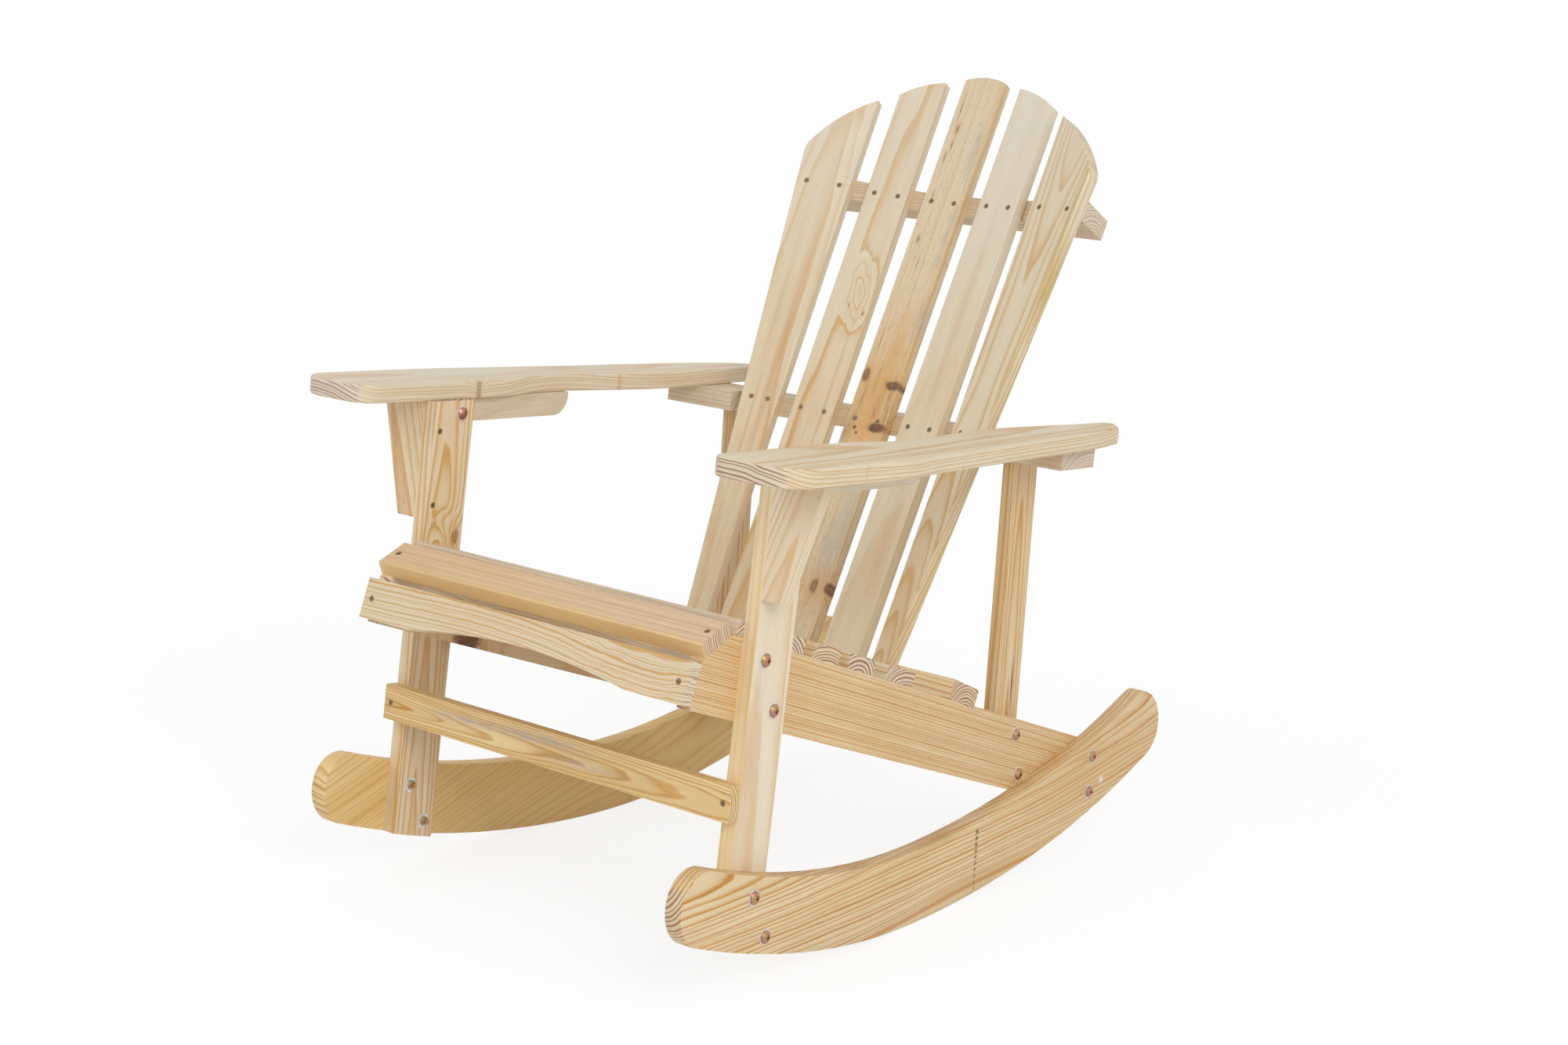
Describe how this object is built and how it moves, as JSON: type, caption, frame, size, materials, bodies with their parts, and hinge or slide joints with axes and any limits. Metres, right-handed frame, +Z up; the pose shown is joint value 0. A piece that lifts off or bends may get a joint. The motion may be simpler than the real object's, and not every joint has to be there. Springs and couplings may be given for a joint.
{
  "type": "rocking adirondack chair",
  "caption": "Slatted wooden rocking chair with curved rockers, broad shaped arms, a seat that falls to the rear and a reclined fan-shaped back.",
  "frame": {"origin": "on the floor, below the middle of the chair's overall box, with the chair at rest on its rockers", "axes": "+Z up, the chair faces -Y, +X is the sitter's left"},
  "size_m": [0.739, 1.038, 1.007],
  "materials": {
    "pine": "matt",
    "yellow_zinc": "satin",
    "bright_zinc": "satin",
    "screw_steel": "dull"
  },
  "bodies": {
    "root": {"rocker_left": "pine", "rocker_right": "pine", "leg_left": "pine", "leg_right": "pine", "side_rail_left": "pine", "side_rail_right": "pine", "post_left": "pine", "post_right": "pine", "arm_left": "pine", "arm_right": "pine", "arm_bracket_left": "pine", "arm_bracket_right": "pine", "arm_bar_left": "pine", "arm_bar_right": "pine", "arm_support_rail": "pine", "apron": "pine", "footrest_bar": "pine", "seat_slat_1": "pine", "seat_slat_2": "pine", "seat_slat_3": "pine", "seat_slat_4": "pine", "seat_slat_5": "pine", "seat_slat_6": "pine", "back_slat_1": "pine", "back_slat_2": "pine", "back_slat_3": "pine", "back_slat_4": "pine", "back_slat_5": "pine", "lower_back_rail": "pine", "upper_back_rail": "pine", "rocker_bolts": "yellow_zinc", "frame_bolts": "yellow_zinc", "arm_bar_bolts": "yellow_zinc", "rocker_washers": "bright_zinc", "rocker_nuts": "bright_zinc", "frame_washers": "bright_zinc", "frame_nuts": "bright_zinc", "arm_bar_washers": "bright_zinc", "back_screws": "screw_steel", "seat_screws": "screw_steel", "apron_screws": "screw_steel", "footrest_screws": "screw_steel", "bracket_screws": "screw_steel"}
  },
  "joints": []
}
